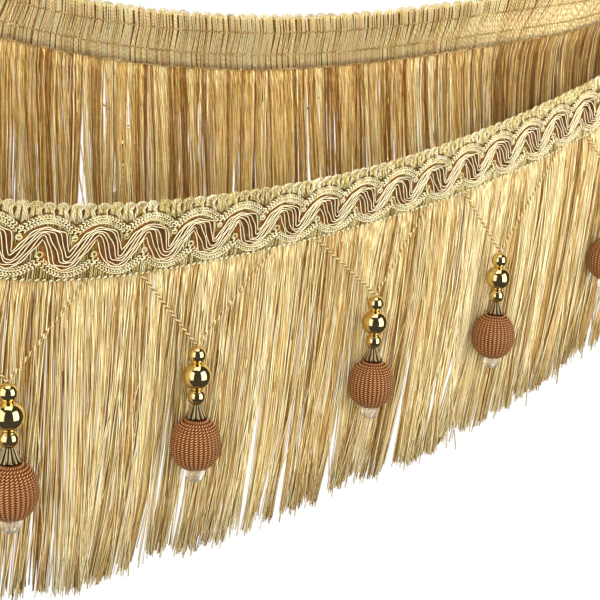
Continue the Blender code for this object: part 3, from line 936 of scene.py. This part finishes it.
# %% [markdown]
# ## The fringe
#
# The fringe is cut yarn, thousands of ends. It leaves the heading at the heading's lean and
# soon hangs plumb, drifts a little sideways as the construction's strands do, and is
# pressed in where a drop lies on it. Finer things are added here: the yarns lie in layers,
# neighbours draw together in locks towards their tips, a few stray, and the cut is uneven.
# Cloth simulation would be slow for so many ends and hard to repeat.

# %% Where the fringe hangs
LENGTHS = 13
FRINGE_L = 122.0
CUT_DRIFT, CUT_START = 6.0, 270.0
BEND_L = 12.0  # how soon it hangs plumb
MID_DEPTH = 32.0
DRIFT_L = 107.0
WAVES = ((41, 0.55, 0.3), (18, 1.2, 2.1), (8, 1.5, 4.0))  # count, size, phase
PRESS_MID, PRESS_TIP, PRESS_REACH = 3.0, 5.0, 12.0
V_HALF = 31.0  # half of what a string spans along the heading
DROP_STRINGS = (  # both arms together, and how far the knot sits off balance
    (91.0, 1.0), (90.0, -2.0), (98.0, -4.5), (90.0, -6.0), (89.5, 5.5), (95.5, -2.0),
    (92.0, 2.0), (93.0, 0.0), (90.0, 3.0), (94.0, -3.0), (91.0, 2.0), (93.0, -4.0), (90.0, 1.5),
)


def hang(number):
    """Where a drop hangs: the string slides until both arms slope nearly alike."""
    string_l, off_balance = DROP_STRINGS[number]
    middle = (number + 0.5) * heading.length / LENGTHS
    steps = heading.root(np.linspace(middle - V_HALF, middle + V_HALF, 13))
    span = np.linalg.norm(np.diff(steps[:, :2], axis=0), axis=1).sum()
    rise = steps[-1, 2] - steps[0, 2]
    sine = span / string_l
    left_arm = (string_l - rise / math.sqrt(1 - sine ** 2)) / 2
    return middle - V_HALF + left_arm * sine / span * 2 * V_HALF + off_balance


HANGS = np.array([hang(number) for number in range(LENGTHS)])


def hanging(s, depth):
    """Where fringe that leaves the heading at s hangs at a depth under it."""
    _, _, up, _, sway = heading.at(s)
    along, out = heading.level(s)
    bent = BEND_L * (1 - np.exp(-depth / BEND_L))
    waves = sum(size * np.sin(2 * np.pi * count * s / heading.length + phase)
                for count, size, phase in WAVES)
    drift = (sway + waves) * (depth / DRIFT_L) ** 1.5
    half = heading.length / 2
    away = ((s + sway / 2)[..., None] - HANGS + half) % heading.length - half
    nearest = np.abs(away).min(axis=-1)
    press = np.exp(-(nearest / PRESS_REACH) ** 2) * np.interp(
        depth, (0.0, MID_DEPTH, FRINGE_L), (0.0, PRESS_MID, PRESS_TIP))
    down = UP * (bent - depth)[..., None]
    place = heading.root(s) - up * bent[..., None] + down
    return place + along * drift[..., None] - out * press[..., None], along, out


print("drops hang at", [round(place) for place in HANGS])

# %% [markdown]
# The yarns are first shared out into locks of unequal width. A lock has its own draw, lean,
# colour and cut, which is what opens slits of light between the locks lower down and makes
# the cut edge ragged. One yarn in eight is a stray that crosses its neighbours.

# %% Fringe, length by length
ENDS = 600  # yarns in each length
STRAYS, STRAY_LEAN = 0.12, 8.0  # share of the yarns, spread at the tips
YARN_R = (0.22, 0.36)
LOCK_W = (2.2, 6.4)
LEAN_BY_PLACE = ((0, 150, 200, 330, 450, 600, 850, 1100),
                 (0.0, -1.5, -6.0, -5.0, -3.5, -2.0, -0.5, 0.0))
SIZE_BY_LAYER = ((-1.2, -0.8, 0.3, 0.5), (1.35, 1.0, 1.0, 1.2))
RINGS = np.array([0.0, 0.07, 0.19, 0.37, 0.58, 0.79, 1.0])
SPREAD = np.interp(RINGS, (0, 0.1, 1), (0.5, 1.0, 1.4))  # of the layers, on the way down

lock_edges = np.cumsum(rng.uniform(*LOCK_W, 380))
lock_edges = lock_edges[lock_edges < heading.length]
LOCKS = len(lock_edges) + 1
lock_ends = np.concatenate([[0.0], lock_edges, [heading.length]])
lock_middle = np.convolve(lock_ends, (0.5, 0.5), mode="valid")
lock_draw = rng.uniform(0.05, 0.42, LOCKS)
lock_lean = rng.normal(0, 2.4, LOCKS) + np.interp(lock_middle, *LEAN_BY_PLACE)
lock_wave = rng.normal(0, 0.9, LOCKS)
lock_cut = rng.uniform(-3.4, 2.4, LOCKS)
lock_shade = rng.normal(0, 0.06, LOCKS)
lock_out = rng.normal(0, 0.35, LOCKS)


def fringe_length(number):
    width = heading.length / LENGTHS
    s = number * width + (np.arange(ENDS) + rng.uniform(0, 1, ENDS)) * width / ENDS
    s = np.clip(s, *cut_ends(0.3))
    lock = np.searchsorted(lock_edges, s)
    cut = FRINGE_L + CUT_DRIFT * np.sin((s - CUT_START) / heading.length * math.tau)
    cut += lock_cut[lock] + rng.normal(0, 1.2, ENDS) - rng.gamma(1.0, 1.3, ENDS) + 1.3
    depth = cut[:, None] * RINGS
    place, along, out = hanging(np.repeat(s[:, None], len(RINGS), axis=1), depth)
    astray = rng.uniform(0, 1, ENDS) < STRAYS
    stray = astray * rng.normal(0, STRAY_LEAN, ENDS)
    aside = ((lock_middle[lock] - s) * lock_draw[lock] + lock_lean[lock])[:, None] * RINGS ** 1.9
    aside += (rng.normal(0, 0.75, ENDS) + stray)[:, None] * RINGS ** 1.6
    aside += rng.normal(0, 0.95, ENDS)[:, None] * np.sin(np.pi * RINGS)
    aside += lock_wave[lock][:, None] * np.sin(2.2 * np.pi * RINGS) * RINGS
    layer = np.where(astray, rng.uniform(0.3, 0.8, ENDS),
                     rng.uniform(-1.2, 0.2, ENDS) + lock_out[lock])
    layer = np.clip(layer, -1.8, 0.8)
    place = place + along * aside[..., None] + out * (layer[:, None] * SPREAD)[..., None]
    size = rng.uniform(*YARN_R, ENDS) * np.interp(layer, *SIZE_BY_LAYER)
    size = size[:, None] * (1 - 0.20 * RINGS)
    # Painted shade: yarns deeper in the fringe are darker and those in front lighter, by 0.36 a
    # unit of layer; the rest of a yarn's shade is its own tone.
    shades = 0.53 + 0.31 * rng.normal(0, 1, ENDS) + lock_shade[lock] + 0.36 * (layer + 0.5)
    piece = lay_yarns(f"fringe_yarns_{number + 1:02d}", place, out, size, fringe_yarn,
                      np.clip(shades, 0, 1), twists=6)
    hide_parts(f"fringe_{number + 1:02d}")


for number in range(LENGTHS):
    fringe_length(number)

# %% [markdown]
# ## The drops
#
# Each drop is threaded on a fine two-ply string that forms a V from the root row. Under it
# hang a small, a large and a small gold bead, a fluted cap, a ball wound with copper thread
# and a clear end bead. The beads, cap and ball are turned or spun shapes, placed by the
# construction's own boxes. Mirror-bright beads need a low roughness and something to
# reflect, so their look comes mostly from the lights.


# %% Drop finishes
def metal(name, colour, roughness):
    material, shader, _ = new_material(name, roughness, metallic=1.0)
    shader.inputs["Base Color"].default_value = (*colour, 1.0)
    return material


gold = metal("polished_gold", (0.92, 0.72, 0.34), 0.05)
BRASS_FLUTE_SHADE, BRASS_HIGH = (0.008, 0.004, 0.001, 1.0), (0.78, 0.60, 0.32, 1.0)
THREAD_LOW, THREAD_HIGH = (0.10, 0.015, 0.002, 1.0), (1.0, 0.56, 0.22, 1.0)
THREAD_SHINE = (1.0, 0.62, 0.34, 1.0)
RIBS = 32
STITCH_ROWS = 24
STITCH_SLANT = 1.4
STITCH_EDGES = (0.1, 0.75)  # where a stitch's wave turns from groove to thread


def antique_brass():
    """Brass painted darker in its flutes and on its plain rim, as shade: the flute's depth is on
    the mesh as an attribute.
    """
    material, shader, tree = new_material("antique_brass", 0.32, metallic=1.0)
    feed(tree, shader.inputs["Base Color"],
         mix_colours(tree, own_shade(tree), BRASS_FLUTE_SHADE, BRASS_HIGH))
    return material


def copper_thread():
    """Rows of tiny stitches up every rib, from the ball's own UV map, with painted shade in the
    grooves.
    """
    material, shader, tree = new_material("copper_thread", 0.30)
    shader.inputs["Specular Tint"].default_value = THREAD_SHINE
    shader.inputs["Specular IOR Level"].default_value = 0.6
    turn, along = uv_parts(tree)
    rib = calculate(tree, "SINE", calculate(tree, "MULTIPLY", turn, RIBS * math.tau))
    slant = calculate(tree, "MULTIPLY", rib, STITCH_SLANT)
    rows = calculate(tree, "MULTIPLY", along, STITCH_ROWS * math.tau)
    stitch = calculate(tree, "SINE", calculate(tree, "ADD", rows, slant))
    level = remap(tree, stitch, *STITCH_EDGES)
    # Painted shade: the stitches are darkened in the grooves between the ribs, by the shade on
    # the mesh.
    stitches_and_groove_shade = calculate(tree, "MULTIPLY", level, own_shade(tree))
    feed(tree, shader.inputs["Base Color"], mix_colours(tree, stitches_and_groove_shade, THREAD_LOW, THREAD_HIGH))
    add_bump(tree, shader, level, 0.3, strength=0.8)
    return material


def clear_frosted():
    material, shader, _ = new_material("clear_frosted", 0.2)
    shader.inputs["Base Color"].default_value = (0.95, 0.90, 0.80, 1.0)
    shader.inputs["Transmission Weight"].default_value = 0.9
    shader.inputs["IOR"].default_value = 1.49
    return material


brass = antique_brass()
copper = copper_thread()
clear = clear_frosted()
print("drop finishes:", gold.name, brass.name, copper.name, clear.name)


# %% Turned shapes
BEADS = ((3.65, 3.2), (5.8, 11.9), (3.65, 20.5))  # radius, depth of the middle
BEAD_STEPS = (24, 14)  # round and down
CAP_PROFILE = ((1.5, 23.2), (1.9, 23.7), (2.4, 24.9), (3.1, 26.4), (3.9, 27.8), (4.35, 28.5),
               (4.5, 28.85), (4.0, 29.1))  # profiles: radius, depth
CAP_STEPS, CAP_RIBS, CAP_GROOVE = 72, 12, 0.8
# Below this depth the cap's rim is plain and gets the darkest painted shade.
CAP_PLAIN = 28.6  # the cap's flutes end at this depth
BALL_PROFILE = ((0.6, 0.1), (3.7, 0.25), (7.4, 2.4), (9.8, 6.6), (10.55, 11.6), (10.05, 16.2),
                (7.9, 19.9), (4.8, 22.3), (0.6, 22.8))
BALL_TOP = 28.9  # the ball's and end bead's depths count from here
BALL_ROWS, BALL_GROOVE = 18, 0.6
END_PROFILE = ((0.5, 22.0), (3.5, 22.8), (3.75, 23.8), (3.7, 25.6), (3.1, 27.0), (0.5, 27.5))
END_STEPS = 20


def spun(name, profile, top, steps, ribs=0, rib_depth=0.0, plain_under=math.inf):
    """A shape turned about a plumb axis under a point, with ribs or flutes down to a depth."""
    shape = bmesh.new()
    verts = [shape.verts.new((radius, 0.0, -depth)) for radius, depth in profile]
    edges = [shape.edges.new(pair) for pair in zip(verts, verts[1:])]
    bmesh.ops.spin(shape, geom=verts + edges, cent=(0, 0, 0), axis=(0, 0, 1), angle=math.tau,
                   steps=steps, use_merge=True)
    bmesh.ops.remove_doubles(shape, verts=shape.verts, dist=0.004)
    bmesh.ops.holes_fill(shape, edges=shape.edges, sides=steps)
    bmesh.ops.recalc_face_normals(shape, faces=shape.faces)
    wrap_uv(shape, -profile[-1][1])
    mesh = mesh_of(name, shape)
    place = vertex_places(mesh)
    wave = np.ones(len(place))
    if ribs:
        wave = np.abs(np.cos(np.arctan2(place[:, 1], place[:, 0]) * ribs / 2))
        ribbed = -place[:, 2] < plain_under
        place[:, :2] *= 1 - (ribbed * rib_depth * (1 - wave))[:, None] / np.maximum(
            np.linalg.norm(place[:, :2], axis=1, keepdims=True), 1.0)
        # Painted shade: with ribs, the shade on the mesh is darkest in their grooves and nil
        # where they have ended.
        wave = wave ** 2.2 * ribbed
    settle(mesh, place + top, wave)
    return mesh


def smooth_line(points, count, passes):
    """A smooth line through points at even steps, and the distance along it of each."""
    points = np.array(points, float)
    run = run_along(points)
    even = np.linspace(0, run[-1], count)
    line = np.stack([np.interp(even, run, column) for column in points.T], axis=1)
    for _ in range(passes):
        line[1:-1] = (line[:-2] + 2 * line[1:-1] + line[2:]) / 4
    return line, even


def round_beads(name, top):
    """The gold beads as one mesh."""
    shape = bmesh.new()
    for radius, depth in BEADS:
        centre = Matrix.Translation(Vector((top - UP * depth) * MM))
        bmesh.ops.create_uvsphere(shape, u_segments=BEAD_STEPS[0], v_segments=BEAD_STEPS[1],
                                  radius=radius * MM, matrix=centre)
    for face in shape.faces:
        face.smooth = True
    return mesh_of(name, shape)


print("ball:", BALL_ROWS, "rows,", RIBS, "ribs")


# %% Beads, caps and balls
def bead_axis(number):
    low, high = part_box(f"drop_{number:02d}_beads")
    return np.array([(low.x + high.x) / 2, (low.y + high.y) / 2, high.z]) / MM


def drop_pieces(number):
    top = bead_axis(number)
    under = top - UP * BALL_TOP
    piece = show(round_beads(f"gold_beads_{number:02d}", top), gold)
    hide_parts(f"drop_{number:02d}_beads")
    cap = show(spun(f"fluted_cap_{number:02d}", CAP_PROFILE, top, CAP_STEPS, CAP_RIBS,
                    CAP_GROOVE, plain_under=CAP_PLAIN), brass)
    profile, _ = smooth_line(BALL_PROFILE, BALL_ROWS, passes=3)
    ball = show(spun(f"thread_ball_{number:02d}", profile, under, RIBS * 4, RIBS,
                     BALL_GROOVE), copper)
    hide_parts(f"drop_{number:02d}_ball")
    end = show(spun(f"end_bead_{number:02d}", END_PROFILE, under, END_STEPS), clear)


for number in range(1, LENGTHS + 1):
    drop_pieces(number)
print("drops:", LENGTHS)

# %% [markdown]
# The string is two plies twisted round each other. Its route is the construction's: from
# the root row down over the fringe to the top bead and up again. Each ply is a yarn whose
# path circles the route.

# %% Strings
STRING_AT, STRING_SEAT = -14.2, 1.55  # its ends: across the heading, out from it
STRING_LIE = 2.3  # how far it lies out from the fringe's middle
ARM_SHARES = (0.3, 0.65)  # where an arm is held off the fringe
PLY_R = 0.34
TURN_L, TURN_STEPS = 2.6, 6  # length of a turn of the plies, and steps in it


def heading_turn(s):
    """How sharply the plan turns outwards round s, in radians a millimetre."""
    reach = 2.0
    before, after = heading.level(s - reach)[0], heading.level(s + reach)[0]
    return math.asin(before[0] * after[1] - before[1] * after[0]) / (2 * reach)


def string_route(number):
    middle = (number - 0.5) * heading.length / LENGTHS
    turn_s = HANGS[number - 1]
    apex = bead_axis(number) + UP * 0.6
    reach = float((apex - heading.root(turn_s)) @ heading.level(turn_s)[1])

    def arm(end_s):
        end = heading.point(end_s, STRING_AT, STRING_SEAT)
        points = [end]
        for share in ARM_SHARES:
            s = end_s + (turn_s - end_s) * share
            z = end[2] + (apex[2] - end[2]) * share
            root, out = heading.root(s), heading.level(s)[1]
            behind = hanging(np.array([s]), np.array([root[2] - z]))[0][0]
            chord = max(heading_turn(s), 0.0) * (V_HALF / len(ARM_SHARES)) ** 2 / 8
            lying = float((behind - root) @ out) + STRING_LIE + chord
            outward = max(STRING_SEAT + (reach - STRING_SEAT) * share, lying)
            points.append(np.array([*(root + out * outward)[:2], z]))
        return points

    return np.array([*arm(middle - V_HALF), apex, *reversed(arm(middle + V_HALF))])


def twisted_string(number):
    route = string_route(number)
    steps = int(run_along(route)[-1] / TURN_L * TURN_STEPS)
    line, distance = smooth_line(route, steps, passes=4)
    along = unit(np.gradient(line, axis=0))
    side = unit(np.cross(along, heading.level(HANGS[number - 1])[1]))
    front = np.cross(side, along)
    plies = []
    for start in (0.0, math.pi):
        turn = (distance / TURN_L * math.tau + start)[:, None]
        plies.append(line + PLY_R * 0.9 * (side * np.cos(turn) + front * np.sin(turn)))
    piece = lay_yarns(f"twisted_string_{number:02d}", np.stack(plies),
                      np.broadcast_to(front, (2, *front.shape)), PLY_R, string_yarn,
                      np.array([0.15, 0.85]))
    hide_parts(f"drop_{number:02d}_string")


for number in range(1, LENGTHS + 1):
    twisted_string(number)

# %% [markdown]
# ## Studio
#
# The trim hangs in front of plain white. A wide floor lies far below it and shows as white,
# while the light that the trim gets from its surroundings is kept low, so that the gaps
# between the yarns stay dark. Soft panels stand at the right and left of the camera, above
# and behind. The gold beads mirror them as a bright window and a yellow half, with the dark
# room between. Two more lights fill the front, and the beads don't mirror them: a large
# one, and a narrow one for the wrong side of the band across the top.

# %% Floor and light
FLOOR_Z = -0.75
FLOOR_LIGHT, FLOOR_MIRRORED = 0.80, 0.06
ROOM_LIGHT, ROOM_MIRRORED = 0.40, 0.05
MIDDLE, BACK_BAND = (0.2, -0.05, -0.12), (0.2, 0.0, -0.03)  # where the lights aim


def studio_surface(tree, output, emitter, soft, mirrored):
    """White where it is seen, a soft light for the yarns and a dark room in the gold beads."""
    rays = add_node(tree, "ShaderNodeLightPath")
    level = mirrored
    for ray, value in (("Is Diffuse Ray", soft), ("Is Transmission Ray", 1.0),
                       ("Is Camera Ray", 1.0)):
        level = add_node(tree, "ShaderNodeMix", {
            "Factor": rays.outputs[ray], "A": level, "B": value}).outputs["Result"]
    white = add_node(tree, emitter, {"Color": WHITE, "Strength": level})
    feed(tree, tree.nodes[output].inputs["Surface"], white.outputs[0])


def plain_floor():
    shape = bmesh.new()
    bmesh.ops.create_grid(shape, x_segments=1, y_segments=1, size=12.0,
                          matrix=Matrix.Translation((0.0, 0.0, FLOOR_Z)))
    mesh = mesh_of("floor", shape)
    material, _, tree = new_material("pale_floor", 0.9)
    studio_surface(tree, "Material Output", "ShaderNodeEmission", FLOOR_LIGHT, FLOOR_MIRRORED)
    mesh.materials.append(material)
    floor = new_object("floor", mesh)


def plain_room():
    world = bpy.data.worlds.new("studio")
    world.use_nodes = True
    studio_surface(world.node_tree, "World Output", "ShaderNodeBackground", ROOM_LIGHT,
                   ROOM_MIRRORED)
    bpy.context.scene.world = world


def soft_light(name, place, size, radiance, aim=MIDDLE, mirrored=True, spread=180):
    light = bpy.data.lights.new(name, "AREA")
    light.shape = "RECTANGLE"
    light.size, light.size_y = size
    light.energy = radiance * math.pi * size[0] * size[1]
    light.spread = math.radians(spread)
    lamp = new_object(name, light)
    lamp.location = place
    lamp.rotation_euler = (Vector(aim) - Vector(place)).to_track_quat("-Z", "Y").to_euler()
    lamp.visible_camera = False
    lamp.visible_glossy = mirrored
    return lamp


plain_floor()
lights = (
    soft_light("right_panel", (0.90, -0.78, 0.0), (0.85, 1.2), 2.3),
    soft_light("left_panel", (-0.85, -0.45, 0.05), (1.4, 1.3), 1.3),
    soft_light("top_panel", (0.1, -0.35, 1.1), (1.1, 0.9), 1.5),
    soft_light("front_fill", (-0.12, -1.05, 0.16), (0.9, 0.7), 4.2, mirrored=False),
    soft_light("wrong_side_fill", (-0.02, -0.95, 0.24), (0.55, 0.08), 0.75, aim=BACK_BAND,
               mirrored=False, spread=14),
    soft_light("back_panel", (0.25, 1.15, 0.25), (1.5, 1.1), 2.6))
plain_room()
bpy.context.scene.view_settings.view_transform = "Standard"
print("lights:", *(lamp.name for lamp in lights))

# %% Camera
CAMERA_AT = np.array([17.753, -547.271, -14.5])
HEADING_AWAY, PITCH, ROLL = 18.0, 15.0, 2.3
LENS = 72.0


def set_camera():
    """Turned to the right of +Y, tipped down and rolled a little."""
    turn, tip, roll = (math.radians(angle) for angle in (HEADING_AWAY, PITCH, ROLL))
    right = np.array([math.cos(turn), -math.sin(turn), 0.0])
    level = np.array([math.sin(turn), math.cos(turn), 0.0])
    forward = level * math.cos(tip) - UP * math.sin(tip)
    up = level * math.sin(tip) + UP * math.cos(tip)
    rolled_right = right * math.cos(roll) + up * math.sin(roll)
    rolled_up = up * math.cos(roll) - right * math.sin(roll)
    data = bpy.data.cameras.new("camera")
    data.lens, data.sensor_width = LENS, 36.0
    data.clip_start, data.clip_end = 0.01, 50.0
    camera = new_object("camera", data)
    place = (CAMERA_AT - heading.origin) * MM
    camera.matrix_world = Matrix.Translation(Vector(place)) @ Matrix(
        np.stack([rolled_right, rolled_up, -forward], axis=1).tolist()).to_4x4()
    bpy.context.scene.camera = camera


set_camera()
print(f"camera: {LENS:.0f} mm lens")

# %% Sizes and finish
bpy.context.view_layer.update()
total = sum(len(face.vertices) - 2 for piece in bpy.data.objects if piece.type == "MESH"
            and piece.name not in frame["nodes"] for face in piece.data.polygons)
print("triangles in all:", total)
